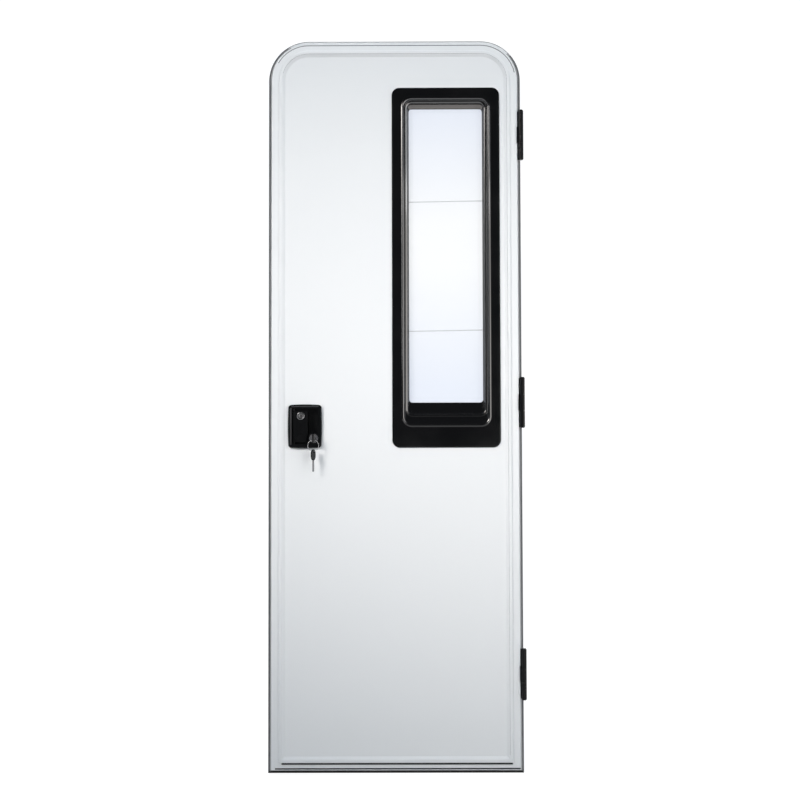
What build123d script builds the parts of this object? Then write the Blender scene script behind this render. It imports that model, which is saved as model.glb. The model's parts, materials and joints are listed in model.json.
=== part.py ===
"""Caravan entry door: aluminium frame, white sandwich leaf, black window surround and paddle lock.

Millimetres, +Z up. The outdoors side faces -Y. The origin is at the middle of the frame's
bottom edge, on the back of its flange, which lies on the caravan's outer wall.
"""
import os
from math import cos, radians, sin

from build123d import *

os.makedirs("parts", exist_ok=True)

# Frame outline
frame_width = 630.0
frame_height = 1820.0
corner_radius = 100.0

# Frame section: distances inward from the outline, and depths behind the wall's outer face
flange_width = 30.0
flange_thickness = 2.5
jamb_thickness = 2.5
jamb_depth = 36.0
stop_width = 12.0
stop_thickness = 2.5
edge_break = 1.0
frame_screw_inset = 18.0
frame_screw_radius = 2.25
frame_screw_end_inset = 120.0
frame_screw_rows = 6

# Leaf section
leaf_inset = 8.0
overlay_gap = 5.0
overlay_thickness = 2.5
overlay_width = 17.5
bead_width = 16.5
bead_rise = 4.0
bead_round = 0.9
bead_shoulder = 2.6
bead_groove_inset = 9.0
bead_groove_width = 1.6
bead_groove_depth = 0.9
leaf_web_inset = 28.5
leaf_web_thickness = 2.5
leaf_lip_width = 12.0
leaf_lip_thickness = 1.5
leaf_thickness = 36.0
skin_thickness = 1.2
panel_play = 0.2
seal_inset = 1.5
seal_width = 9.0
seal_chamfer = 1.5
seal_gap = 1.0

# Hinges
hinge_bottom_inset = 242.0
hinge_top_inset = 240.5
hinge_height = 122.0
hinge_middle_height = 40.0
hinge_knuckle_gap = 0.5
hinge_axis_outset = 0.5
hinge_axis_depth = -12.0
hinge_barrel_radius = 6.5
hinge_pin_radius = 3.0
hinge_pin_play = 0.05
hinge_cap_radius = 5.0
hinge_cap_height = 2.0
hinge_plate_thickness = 2.0
hinge_plate_inset = 26.0
hinge_arm_inset = 9.4

# Window: each stage is set in from the one before, from the flange's outline to the glass
window_hinge_inset = 53.0
window_top_inset = 120.5
window_flange_width = 269.0
window_flange_bottom = 799.0
window_flange_radius = 19.0
window_flange_thickness = 3.0
window_border_width = 5.0
window_border_step = 0.8
mouth_side_inset = 28.0
mouth_top_inset = 27.5
mouth_bottom_inset = 56.5
mouth_radius = 21.0
mouth_edge_break = 1.5
ledge_side_inset = 8.5
ledge_top_inset = 8.0
ledge_bottom_inset = 25.0
ledge_radius = 14.0
ledge_depth = 8.0
glass_side_inset = 6.0
glass_top_inset = 13.5
glass_bottom_inset = 31.0
glass_radius = 8.0
glass_depth = 20.0
window_wall = 4.0
window_play = 1.0
pane_thickness = 4.0
pane_overlap = 10.0
blind_gap = 5.0
blind_thickness = 1.0
blind_play = 4.0
inner_trim_margin = 18.0
inner_trim_thickness = 3.0

# Lock
lock_inset = 91.5
lock_z = 852.5
lock_width = 84.5
lock_height = 109.0
lock_bulge = 1.6
lock_corner_radius = 8.0
lock_rise = 8.0
lock_edge_break = 2.0
tray_width = 64.0
tray_height = 88.0
tray_radius = 6.0
tray_depth = 24.0
tray_wall = 3.0
tray_play = 1.0
boss_x = 22.0
boss_z = -30.0
boss_radius = 15.0
bolt_cylinder_radius = 11.0
bolt_cylinder_rise = 2.0
bolt_cylinder_length = 24.0
plug_radius = 6.5
plug_play = 0.05
paddle_left = -27.0
paddle_right = 7.0
paddle_end_gap = 5.0
paddle_thickness = 5.0
paddle_setback = 2.0
paddle_pin_radius = 1.5
paddle_lip_depth = 9.0
paddle_lip_width = 3.5
paddle_notch_clearance = 3.0
paddle_cylinder_x = -10.5
paddle_cylinder_top_inset = 13.0
paddle_cylinder_radius = 9.5
paddle_cylinder_rise = 1.5
paddle_cylinder_length = 15.0
keyway_width = 2.6
keyway_height = 8.0
lock_plate_height = 140.0
lock_plate_width = 20.0
lock_plate_thickness = 1.5
bolt_height = 22.0
bolt_width = 12.0
bolt_length = 14.0
bolt_spread = 24.0

# Keys
key_blade_width = 7.4
key_blade_thickness = 2.2
key_blade_length = 28.0
key_tip = 2.4
key_bit_pitch = 4.2
key_bit_count = 5
key_bit_depth = 1.3
key_head_length = 27.0
key_head_width = 22.0
key_head_thickness = 3.6
key_hole_radius = 5.4
spare_hole_radius = 3.2
spare_hole_inset = 6.2
spare_turn = 20.0
ring_radius = 13.5
ring_wire_radius = 0.9
ring_wire_sides = 6
ring_play = 0.35

# Indoor furniture
inside_plate_width = 78.0
inside_plate_height = 116.0
inside_plate_thickness = 9.0
lever_boss_radius = 13.0
lever_reach = 74.0
lever_width = 15.0
lever_thickness = 7.0
lever_standoff = 22.0

# Depths and heights that follow from the sizes above
flange_front = -flange_thickness
overlay_back = flange_front - overlay_gap
skin_front = overlay_back - overlay_thickness
bead_front = skin_front - bead_rise
leaf_back = skin_front + leaf_thickness
lip_back = leaf_back + leaf_lip_thickness
stop_front = jamb_depth - stop_thickness
panel_inset = leaf_inset + leaf_web_inset + leaf_web_thickness + panel_play
window_x = frame_width / 2 - window_hinge_inset - window_flange_width / 2
window_flange_top = frame_height - window_top_inset
mouth_width = window_flange_width - 2 * mouth_side_inset
mouth_bottom = window_flange_bottom + mouth_bottom_inset
mouth_top = window_flange_top - mouth_top_inset
ledge_width = mouth_width - 2 * ledge_side_inset
ledge_bottom = mouth_bottom + ledge_bottom_inset
ledge_top = mouth_top - ledge_top_inset
glass_width = ledge_width - 2 * glass_side_inset
glass_bottom = ledge_bottom + glass_bottom_inset
glass_top = ledge_top - glass_top_inset
window_front = skin_front - window_flange_thickness
window_ledge = window_front + ledge_depth
window_back = window_front + glass_depth
pane_back = window_back + pane_thickness
paddle_height = tray_height - 2 * paddle_end_gap
paddle_cylinder_z = paddle_height / 2 - paddle_cylinder_top_inset
lock_front = skin_front - lock_rise
tray_floor = lock_front + tray_depth
tray_back = tray_floor + tray_wall
lock_x = -frame_width / 2 + lock_inset
key_x = lock_x + boss_x
key_z = lock_z + boss_z
hinge_x = frame_width / 2 + hinge_axis_outset
hinge_heights = {
    "lower": hinge_bottom_inset,
    "middle": (hinge_bottom_inset + frame_height - hinge_top_inset) / 2,
    "upper": frame_height - hinge_top_inset,
}
lock_edge_x = -frame_width / 2 + leaf_inset + leaf_web_inset
jamb_face_x = -frame_width / 2 + flange_width
lock_plate_y = (skin_front + leaf_back) / 2


def facing(y):
    """Upright plane at a depth, with its local y up; extruding from it runs outdoors."""
    return Plane(origin=(0, y, 0), x_dir=(1, 0, 0), z_dir=(0, -1, 0))


def level(z):
    """Level plane at a height."""
    return Plane.XY.offset(z)


def lock_side(inset, z):
    """Section of the lock-side member, seen along +Z: local x runs inward, local y indoors."""
    return Plane(origin=(-frame_width / 2 + inset, 0, z), x_dir=(1, 0, 0), z_dir=(0, 0, 1))


def hinge_side(inset, z):
    """Section of the hinge-side member, seen along -Z."""
    return Plane(origin=(frame_width / 2 - inset, 0, z), x_dir=(-1, 0, 0), z_dir=(0, 0, -1))


def bottom_side(inset, x):
    """Section of the bottom member, seen along -X."""
    return Plane(origin=(x, 0, inset), x_dir=(0, 0, 1), z_dir=(-1, 0, 0))


def top_side(inset, x):
    """Section of the top member, seen along +X."""
    return Plane(origin=(x, 0, frame_height - inset), x_dir=(0, 0, -1), z_dir=(1, 0, 0))


bend_z = frame_height - corner_radius
bend_x = frame_width / 2 - corner_radius
lock_bend_axis = Axis((-bend_x, 0, bend_z), (0, 1, 0))
hinge_bend_axis = Axis((bend_x, 0, bend_z), (0, 1, 0))
lock_mitre = Plane(origin=(-frame_width / 2, 0, 0), z_dir=(-1, 0, 1))
hinge_mitre = Plane(origin=(frame_width / 2, 0, 0), z_dir=(1, 0, 1))


def outline(points):
    """Closed straight-sided face on the current sketch plane."""
    with BuildLine(Plane.XY) as edge:
        Polyline(*points, close=True)
    make_face(edge.edges())


def frame_section():
    """Flange, jamb and stop lip of the frame's aluminium extrusion."""
    outline(
        [
            (0, 0),
            (0, flange_front + edge_break),
            (edge_break, flange_front),
            (flange_width, flange_front),
            (flange_width, stop_front),
            (flange_width + stop_width, stop_front),
            (flange_width + stop_width, jamb_depth),
            (flange_width - jamb_thickness, jamb_depth),
            (flange_width - jamb_thickness, 0),
        ]
    )


def leaf_section():
    """Overlay, raised bead with its groove, web and rear lip of the leaf's extrusion."""
    groove = overlay_width + bead_groove_inset
    groove_half = bead_groove_width / 2
    bead_end = overlay_width + bead_width
    outline(
        [
            (0, overlay_back),
            (0, skin_front + edge_break),
            (edge_break, skin_front),
            (overlay_width, skin_front),
            (overlay_width + bead_round, bead_front + bead_round),
            (overlay_width + bead_shoulder, bead_front),
            (groove - groove_half, bead_front),
            (groove, bead_front + bead_groove_depth),
            (groove + groove_half, bead_front),
            (bead_end, skin_front),
            (leaf_web_inset + leaf_web_thickness, skin_front),
            (leaf_web_inset + leaf_web_thickness, leaf_back),
            (leaf_web_inset + leaf_lip_width, leaf_back),
            (leaf_web_inset + leaf_lip_width, lip_back),
            (leaf_web_inset, lip_back),
            (leaf_web_inset, overlay_back),
        ]
    )


def stop_seal_section():
    """Bulb seal on the stop lip, just clear of the leaf's back."""
    front = lip_back + seal_gap
    near = flange_width + seal_inset
    far = near + seal_width
    outline(
        [
            (near, stop_front),
            (near, front + seal_chamfer),
            (near + seal_chamfer, front),
            (far - seal_chamfer, front),
            (far, front + seal_chamfer),
            (far, stop_front),
        ]
    )


def arch(inset):
    """Leaf-shaped face: square at the bottom, rounded at both top corners."""
    left = -frame_width / 2 + inset
    right = frame_width / 2 - inset
    top = frame_height - inset
    radius = corner_radius - inset
    with BuildLine(Plane.XY) as edge:
        Line((left, inset), (right, inset))
        Line((right, inset), (right, top - radius))
        RadiusArc((right, top - radius), (right - radius, top), -radius)
        Line((right - radius, top), (left + radius, top))
        RadiusArc((left + radius, top), (left, top - radius), -radius)
        Line((left, top - radius), (left, inset))
    make_face(edge.edges())


def window_face(width, bottom, top, radius):
    """Rounded rectangle about the window's centre line."""
    with Locations((window_x, (bottom + top) / 2)):
        RectangleRounded(width, top - bottom, radius)


def lock_outline(width, height, radius):
    """Rounded rectangle with gently bulging sides about the lock's centre."""
    half_w = width / 2 - lock_bulge
    half_h = height / 2 - lock_bulge
    with BuildSketch(Plane.XY, mode=Mode.PRIVATE) as blank:
        with BuildLine(Plane.XY):
            ThreePointArc((-half_w, -half_h), (0, -height / 2), (half_w, -half_h))
            ThreePointArc((half_w, -half_h), (width / 2, 0), (half_w, half_h))
            ThreePointArc((half_w, half_h), (0, height / 2), (-half_w, half_h))
            ThreePointArc((-half_w, half_h), (-width / 2, 0), (-half_w, -half_h))
        make_face()
        fillet(blank.vertices(), radius)
    with Locations((lock_x, lock_z)):
        add(blank.sketch)


def save(piece, name):
    """Name a finished piece and write its file."""
    piece.part.label = name
    export_step(piece.part, f"parts/{name}.step")


# Frame members, bent at the top and mitred at the bottom corners
screw_span = frame_height - 2 * frame_screw_end_inset
screw_heights = [
    frame_screw_end_inset + i * screw_span / (frame_screw_rows - 1) for i in range(frame_screw_rows)
]
screw_x = frame_width / 2 - frame_screw_inset

with BuildPart() as frame_left_jamb:
    with BuildSketch(lock_side(0, 0)):
        frame_section()
    extrude(amount=bend_z)
    split(bisect_by=lock_mitre, keep=Keep.TOP)
    with Locations([(-screw_x, flange_front / 2, z) for z in screw_heights]):
        Cylinder(frame_screw_radius, 4 * flange_thickness, rotation=(90, 0, 0), mode=Mode.SUBTRACT)
    with Locations((jamb_face_x - lock_plate_thickness / 2, lock_plate_y, lock_z)):
        Box(lock_plate_thickness, lock_plate_width, lock_plate_height, mode=Mode.SUBTRACT)
    with Locations([(jamb_face_x, lock_plate_y, lock_z + s * bolt_spread) for s in (-1, 1)]):
        Box(4 * jamb_thickness, bolt_width + 2, bolt_height + 4, mode=Mode.SUBTRACT)
save(frame_left_jamb, "frame_left_jamb")

with BuildPart() as frame_right_jamb:
    with BuildSketch(hinge_side(0, bend_z)):
        frame_section()
    extrude(amount=bend_z)
    split(bisect_by=hinge_mitre, keep=Keep.TOP)
    with Locations([(screw_x, flange_front / 2, z) for z in screw_heights]):
        Cylinder(frame_screw_radius, 4 * flange_thickness, rotation=(90, 0, 0), mode=Mode.SUBTRACT)
save(frame_right_jamb, "frame_right_jamb")

with BuildPart() as frame_head:
    with BuildSketch(top_side(0, -bend_x)):
        frame_section()
    extrude(amount=2 * bend_x)
save(frame_head, "frame_head")

with BuildPart() as frame_left_bend:
    with BuildSketch(lock_side(0, bend_z)):
        frame_section()
    revolve(axis=lock_bend_axis, revolution_arc=90)
save(frame_left_bend, "frame_left_bend")

with BuildPart() as frame_right_bend:
    with BuildSketch(top_side(0, bend_x)):
        frame_section()
    revolve(axis=hinge_bend_axis, revolution_arc=90)
save(frame_right_bend, "frame_right_bend")

with BuildPart() as frame_sill:
    with BuildSketch(bottom_side(0, frame_width / 2)):
        frame_section()
    extrude(amount=frame_width)
    split(bisect_by=lock_mitre, keep=Keep.BOTTOM)
    split(bisect_by=hinge_mitre, keep=Keep.BOTTOM)
save(frame_sill, "frame_sill")

with BuildPart() as frame_seal:
    seal_start = flange_width + seal_inset
    with BuildSketch(lock_side(0, seal_start)):
        stop_seal_section()
    extrude(amount=bend_z - seal_start)
    with BuildSketch(lock_side(0, bend_z)):
        stop_seal_section()
    revolve(axis=lock_bend_axis, revolution_arc=90)
    with BuildSketch(top_side(0, -bend_x)):
        stop_seal_section()
    extrude(amount=2 * bend_x)
    with BuildSketch(top_side(0, bend_x)):
        stop_seal_section()
    revolve(axis=hinge_bend_axis, revolution_arc=90)
    with BuildSketch(hinge_side(0, bend_z)):
        stop_seal_section()
    extrude(amount=bend_z - seal_start)
    with BuildSketch(bottom_side(0, frame_width / 2 - seal_start)):
        stop_seal_section()
    extrude(amount=frame_width - 2 * seal_start)
save(frame_seal, "frame_seal")

# Strike plate let into the lock-side jamb
with BuildPart() as strike_plate:
    with Locations((jamb_face_x - lock_plate_thickness / 2, lock_plate_y, lock_z)):
        Box(lock_plate_thickness, lock_plate_width, lock_plate_height)
    with Locations([(jamb_face_x, lock_plate_y, lock_z + s * bolt_spread) for s in (-1, 1)]):
        Box(4 * lock_plate_thickness, bolt_width + 2, bolt_height + 4, mode=Mode.SUBTRACT)
save(strike_plate, "strike_plate")

# Hinges: two knuckles on the frame, one on the leaf, with both plates folded in the gap
hinge_middle_half = hinge_middle_height / 2
hinge_half = hinge_height / 2
plate_left = frame_width / 2 - hinge_plate_inset
frame_plate_front = flange_front - hinge_plate_thickness
leaf_plate_front = overlay_back + hinge_plate_thickness
knuckle_end = hinge_middle_half + hinge_knuckle_gap

for place, z in hinge_heights.items():
    with BuildPart() as hinge_frame_plate:
        with BuildSketch(level(z - hinge_half)):
            with Locations(((plate_left + hinge_x) / 2, (flange_front + frame_plate_front) / 2)):
                Rectangle(hinge_x - plate_left, hinge_plate_thickness)
        extrude(amount=hinge_height)
        with BuildSketch(level(z - hinge_half), level(z + knuckle_end)):
            with Locations((hinge_x, hinge_axis_depth)):
                Circle(hinge_barrel_radius)
            with Locations((hinge_x - 2.0, (hinge_axis_depth + flange_front) / 2)):
                Rectangle(4.0, flange_front - hinge_axis_depth)
            with Locations((hinge_x, hinge_axis_depth)):
                Circle(hinge_pin_radius, mode=Mode.SUBTRACT)
        extrude(amount=hinge_half - knuckle_end)
    save(hinge_frame_plate, f"hinge_{place}_frame_plate")

    with BuildPart() as hinge_leaf_plate:
        arm_left = frame_width / 2 - hinge_arm_inset
        leaf_edge = frame_width / 2 - leaf_inset
        with BuildSketch(level(z - hinge_middle_half)):
            with Locations((hinge_x, hinge_axis_depth)):
                Circle(hinge_barrel_radius)
            with Locations(((leaf_edge + hinge_x) / 2, (bead_front + leaf_plate_front) / 2)):
                Rectangle(hinge_x - leaf_edge, leaf_plate_front - bead_front)
            with Locations(((arm_left + leaf_edge) / 2, (bead_front + skin_front) / 2)):
                Rectangle(leaf_edge - arm_left, skin_front - bead_front)
            with Locations((hinge_x, hinge_axis_depth)):
                Circle(hinge_pin_radius + hinge_pin_play, mode=Mode.SUBTRACT)
        extrude(amount=hinge_middle_height)
        with BuildSketch(level(z - hinge_middle_half)):
            with Locations(((plate_left + leaf_edge) / 2, (overlay_back + leaf_plate_front) / 2)):
                Rectangle(leaf_edge - plate_left, hinge_plate_thickness)
        extrude(amount=hinge_middle_height)
    save(hinge_leaf_plate, f"hinge_{place}_leaf_plate")

    with BuildPart() as hinge_pin:
        with Locations((hinge_x, hinge_axis_depth, z)):
            Cylinder(hinge_pin_radius, hinge_height)
        cap_offset = hinge_half + hinge_cap_height / 2
        with Locations([(hinge_x, hinge_axis_depth, z + s * cap_offset) for s in (-1, 1)]):
            Cylinder(hinge_cap_radius, hinge_cap_height)
    save(hinge_pin, f"hinge_{place}_pin")

# Leaf edge extrusions
with BuildPart() as leaf_left_stile:
    with BuildSketch(lock_side(leaf_inset, 0)):
        leaf_section()
    extrude(amount=bend_z)
    split(bisect_by=lock_mitre, keep=Keep.TOP)
    with Locations((lock_edge_x + lock_plate_thickness / 2, lock_plate_y, lock_z)):
        Box(lock_plate_thickness, lock_plate_width, lock_plate_height, mode=Mode.SUBTRACT)
    with Locations([(lock_edge_x, lock_plate_y, lock_z + s * bolt_spread) for s in (-1, 1)]):
        Box(4 * leaf_web_thickness, bolt_width, bolt_height, mode=Mode.SUBTRACT)
save(leaf_left_stile, "leaf_left_stile")

with BuildPart() as leaf_right_stile:
    with BuildSketch(hinge_side(leaf_inset, bend_z)):
        leaf_section()
    extrude(amount=bend_z)
    split(bisect_by=hinge_mitre, keep=Keep.TOP)
save(leaf_right_stile, "leaf_right_stile")

with BuildPart() as leaf_top_rail:
    with BuildSketch(top_side(leaf_inset, -bend_x)):
        leaf_section()
    extrude(amount=2 * bend_x)
save(leaf_top_rail, "leaf_top_rail")

with BuildPart() as leaf_left_bend:
    with BuildSketch(lock_side(leaf_inset, bend_z)):
        leaf_section()
    revolve(axis=lock_bend_axis, revolution_arc=90)
save(leaf_left_bend, "leaf_left_bend")

with BuildPart() as leaf_right_bend:
    with BuildSketch(top_side(leaf_inset, bend_x)):
        leaf_section()
    revolve(axis=hinge_bend_axis, revolution_arc=90)
save(leaf_right_bend, "leaf_right_bend")

with BuildPart() as leaf_bottom_rail:
    with BuildSketch(bottom_side(leaf_inset, frame_width / 2)):
        leaf_section()
    extrude(amount=frame_width)
    split(bisect_by=lock_mitre, keep=Keep.BOTTOM)
    split(bisect_by=hinge_mitre, keep=Keep.BOTTOM)
save(leaf_bottom_rail, "leaf_bottom_rail")

# Leaf panel: two skins on a foam core, all cut for the window and the lock
hole_margin = 2 * (window_wall + window_play)


def panel_holes():
    """Cut-outs for the window body and the lock tray."""
    window_face(
        mouth_width + hole_margin,
        mouth_bottom - hole_margin / 2,
        mouth_top + hole_margin / 2,
        mouth_radius + window_wall,
    )
    with Locations((lock_x, lock_z)):
        tray_hole = 2 * (tray_wall + tray_play)
        RectangleRounded(tray_width + tray_hole, tray_height + tray_hole, tray_radius + tray_wall)


with BuildPart() as outer_skin:
    with BuildSketch(facing(skin_front + skin_thickness)):
        arch(panel_inset)
    extrude(amount=skin_thickness)
    with BuildSketch(facing(leaf_back)):
        panel_holes()
    extrude(amount=2 * leaf_thickness, mode=Mode.SUBTRACT)
save(outer_skin, "outer_skin")

with BuildPart() as leaf_core:
    with BuildSketch(facing(leaf_back - skin_thickness)):
        arch(panel_inset)
    extrude(amount=leaf_thickness - 2 * skin_thickness)
    with BuildSketch(facing(leaf_back)):
        panel_holes()
    extrude(amount=2 * leaf_thickness, mode=Mode.SUBTRACT)
    with Locations([(lock_edge_x, lock_plate_y, lock_z + s * bolt_spread) for s in (-1, 1)]):
        Box(2 * bolt_length + 2, bolt_width + 1, bolt_height + 1, mode=Mode.SUBTRACT)
save(leaf_core, "leaf_core")

with BuildPart() as inner_skin:
    with BuildSketch(facing(leaf_back)):
        arch(panel_inset)
    extrude(amount=skin_thickness)
    with BuildSketch(facing(2 * leaf_back)):
        window_face(
            mouth_width + hole_margin,
            mouth_bottom - hole_margin / 2,
            mouth_top + hole_margin / 2,
            mouth_radius + window_wall,
        )
    extrude(amount=2 * leaf_back, mode=Mode.SUBTRACT)
save(inner_skin, "inner_skin")

# Window surround: flange, then a tapered reveal in two stages down to the glass
with BuildPart() as window_surround:
    with BuildSketch(facing(skin_front)):
        window_face(
            window_flange_width, window_flange_bottom, window_flange_top, window_flange_radius
        )
    extrude(amount=window_flange_thickness - window_border_step)
    chamfer(window_surround.faces().sort_by(Axis.Y)[0].edges(), edge_break)
    with BuildSketch(facing(skin_front)):
        window_face(
            window_flange_width - 2 * window_border_width,
            window_flange_bottom + window_border_width,
            window_flange_top - window_border_width,
            window_flange_radius - window_border_width,
        )
    extrude(amount=window_flange_thickness)
    with BuildSketch(facing(window_back)):
        window_face(
            mouth_width + 2 * window_wall,
            mouth_bottom - window_wall,
            mouth_top + window_wall,
            mouth_radius + window_wall,
        )
    extrude(amount=window_back - skin_front)
    with BuildSketch(facing(window_front)):
        window_face(mouth_width, mouth_bottom, mouth_top, mouth_radius)
    with BuildSketch(facing(window_ledge)):
        window_face(ledge_width, ledge_bottom, ledge_top, ledge_radius)
    loft(ruled=True, mode=Mode.SUBTRACT)
    with BuildSketch(facing(window_ledge)):
        window_face(ledge_width, ledge_bottom, ledge_top, ledge_radius)
    with BuildSketch(facing(window_back)):
        window_face(glass_width, glass_bottom, glass_top, glass_radius)
    loft(ruled=True, mode=Mode.SUBTRACT)
    with BuildSketch(facing(window_front)):
        window_face(
            mouth_width + 2 * mouth_edge_break,
            mouth_bottom - mouth_edge_break,
            mouth_top + mouth_edge_break,
            mouth_radius + mouth_edge_break,
        )
    with BuildSketch(facing(window_front + mouth_edge_break)):
        window_face(mouth_width, mouth_bottom, mouth_top, mouth_radius)
    loft(ruled=True, mode=Mode.SUBTRACT)
save(window_surround, "window_surround")

with BuildPart() as window_pane:
    with BuildSketch(facing(pane_back)):
        window_face(
            glass_width + 2 * pane_overlap,
            glass_bottom - pane_overlap,
            glass_top + pane_overlap,
            glass_radius + pane_overlap / 2,
        )
    extrude(amount=pane_thickness)
save(window_pane, "window_pane")

blind_width = glass_width + blind_play
blind_bottom = glass_bottom - blind_play / 2
blind_top = glass_top + blind_play / 2

with BuildPart() as window_blind:
    with BuildSketch(facing(pane_back + blind_gap + blind_thickness)):
        window_face(blind_width, blind_bottom, blind_top, glass_radius)
    extrude(amount=blind_thickness)
save(window_blind, "window_blind")

with BuildPart() as window_inner_trim:
    with BuildSketch(facing(leaf_back + inner_trim_thickness)):
        window_face(
            mouth_width + 2 * inner_trim_margin,
            mouth_bottom - inner_trim_margin,
            mouth_top + inner_trim_margin,
            window_flange_radius,
        )
    extrude(amount=inner_trim_thickness)
    chamfer(window_inner_trim.faces().sort_by(Axis.Y)[-1].edges(), edge_break)
    with BuildSketch(facing(leaf_back)):
        window_face(
            mouth_width + 2 * window_wall,
            mouth_bottom - window_wall,
            mouth_top + window_wall,
            mouth_radius + window_wall,
        )
    extrude(amount=leaf_back - pane_back)
    with BuildSketch(facing(2 * leaf_back)):
        window_face(blind_width, blind_bottom, blind_top, glass_radius)
    extrude(amount=2 * leaf_back, mode=Mode.SUBTRACT)
save(window_inner_trim, "window_inner_trim")

# Lock moulding with its finger tray and the boss for the dead bolt's cylinder
bolt_cylinder_front = lock_front - bolt_cylinder_rise
bolt_cylinder_back = bolt_cylinder_front + bolt_cylinder_length
pin_depth = lock_front + paddle_setback + paddle_thickness / 2

with BuildPart() as lock_bezel:
    with BuildSketch(facing(skin_front)):
        lock_outline(lock_width, lock_height, lock_corner_radius)
    extrude(amount=lock_rise)
    chamfer(lock_bezel.faces().sort_by(Axis.Y)[0].edges(), lock_edge_break)
    with BuildSketch(facing(tray_back)):
        with Locations((lock_x, lock_z)):
            RectangleRounded(
                tray_width + 2 * tray_wall, tray_height + 2 * tray_wall, tray_radius + tray_wall
            )
    extrude(amount=tray_back - skin_front)
    with BuildSketch(facing(tray_floor)):
        with Locations((lock_x, lock_z)):
            RectangleRounded(tray_width, tray_height, tray_radius)
        with Locations((key_x, key_z)):
            Circle(boss_radius, mode=Mode.SUBTRACT)
    extrude(amount=2 * tray_depth, mode=Mode.SUBTRACT)
    with BuildSketch(facing(bolt_cylinder_back)):
        with Locations((key_x, key_z)):
            Circle(bolt_cylinder_radius)
    extrude(amount=2 * bolt_cylinder_length, mode=Mode.SUBTRACT)
    with Locations((lock_x + paddle_left, pin_depth, lock_z)):
        Cylinder(paddle_pin_radius, tray_height + 4, mode=Mode.SUBTRACT)
save(lock_bezel, "lock_bezel")

with BuildPart() as paddle_pin:
    with Locations((lock_x + paddle_left, pin_depth, lock_z)):
        Cylinder(paddle_pin_radius, tray_height + 4)
save(paddle_pin, "paddle_pin")

with BuildPart() as deadbolt_cylinder:
    with BuildSketch(facing(bolt_cylinder_back)):
        with Locations((key_x, key_z)):
            Circle(bolt_cylinder_radius)
            Circle(plug_radius + plug_play, mode=Mode.SUBTRACT)
    extrude(amount=bolt_cylinder_length)
save(deadbolt_cylinder, "deadbolt_cylinder")

with BuildPart() as latch_plate:
    with Locations((lock_edge_x + lock_plate_thickness / 2, lock_plate_y, lock_z)):
        Box(lock_plate_thickness, lock_plate_width, lock_plate_height)
    with Locations([(lock_edge_x, lock_plate_y, lock_z + s * bolt_spread) for s in (-1, 1)]):
        Box(4 * lock_plate_thickness, bolt_width, bolt_height, mode=Mode.SUBTRACT)
save(latch_plate, "latch_plate")

with BuildPart() as lock_bolts:
    bolt_middle = lock_edge_x + bolt_length / 2
    with Locations([(bolt_middle, lock_plate_y, lock_z + s * bolt_spread) for s in (-1, 1)]):
        Box(bolt_length, bolt_width, bolt_height)
save(lock_bolts, "lock_bolts")

# Paddle with its own cylinder, hung on the pin at its left edge
paddle_front = lock_front + paddle_setback
paddle_back = paddle_front + paddle_thickness
paddle_knuckle = paddle_thickness / 2

with BuildPart() as paddle:
    with BuildSketch(level(lock_z - paddle_height / 2)):
        with Locations((lock_x + (paddle_left + paddle_right) / 2, (paddle_front + paddle_back) / 2)):
            Rectangle(paddle_right - paddle_left, paddle_thickness)
        with Locations((lock_x + paddle_left, pin_depth)):
            Circle(paddle_knuckle)
        lip_x = lock_x + paddle_right - paddle_lip_width / 2
        with Locations((lip_x, paddle_front + paddle_lip_depth / 2)):
            Rectangle(paddle_lip_width, paddle_lip_depth)
        with Locations((lock_x + paddle_left, pin_depth)):
            Circle(paddle_pin_radius + plug_play, mode=Mode.SUBTRACT)
    extrude(amount=paddle_height)
    with BuildSketch(facing(tray_back)):
        with Locations((key_x, key_z)):
            Circle(boss_radius + paddle_notch_clearance)
        with Locations((lock_x + paddle_cylinder_x, lock_z + paddle_cylinder_z)):
            Circle(paddle_cylinder_radius)
    extrude(amount=2 * tray_depth, mode=Mode.SUBTRACT)
save(paddle, "paddle")

with BuildPart() as paddle_cylinder:
    with BuildSketch(facing(paddle_front - paddle_cylinder_rise + paddle_cylinder_length)):
        with Locations((lock_x + paddle_cylinder_x, lock_z + paddle_cylinder_z)):
            Circle(paddle_cylinder_radius)
    extrude(amount=paddle_cylinder_length)
    with BuildSketch(facing(paddle_front)):
        with Locations((lock_x + paddle_cylinder_x, lock_z + paddle_cylinder_z)):
            Rectangle(keyway_width, keyway_height)
    extrude(amount=2 * paddle_cylinder_rise, both=True, mode=Mode.SUBTRACT)
save(paddle_cylinder, "paddle_cylinder")

# Key in the dead bolt's plug, the ring through its head and the spare key on the ring
plug_front = bolt_cylinder_front
head_back = plug_front - 1.5
head_middle = head_back - key_head_length / 2

with BuildPart() as key_plug:
    with BuildSketch(facing(bolt_cylinder_back)):
        with Locations((key_x, key_z)):
            Circle(plug_radius)
            Rectangle(key_blade_thickness, key_blade_width, mode=Mode.SUBTRACT)
    extrude(amount=bolt_cylinder_length)
save(key_plug, "key_plug")

with BuildPart() as key_blade:
    with Locations((key_x, head_back + (bolt_cylinder_back - head_back - 2) / 2, key_z)):
        Box(key_blade_thickness, bolt_cylinder_back - head_back - 2, key_blade_width)
save(key_blade, "key_blade")

with BuildPart() as key_head:
    with BuildSketch(Plane(origin=(key_x, 0, 0), x_dir=(0, 1, 0), z_dir=(1, 0, 0))):
        with Locations((head_middle, key_z)):
            SlotOverall(key_head_length, key_head_width)
            Circle(key_hole_radius, mode=Mode.SUBTRACT)
        with Locations((head_back - 2.0, key_z)):
            Rectangle(4.0, key_blade_width)
    extrude(amount=key_head_thickness / 2, both=True)
save(key_head, "key_head")

ring_top = key_z - key_hole_radius + ring_wire_radius + ring_play
ring_z = ring_top - ring_radius
ring_bottom = ring_z - ring_radius

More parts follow.
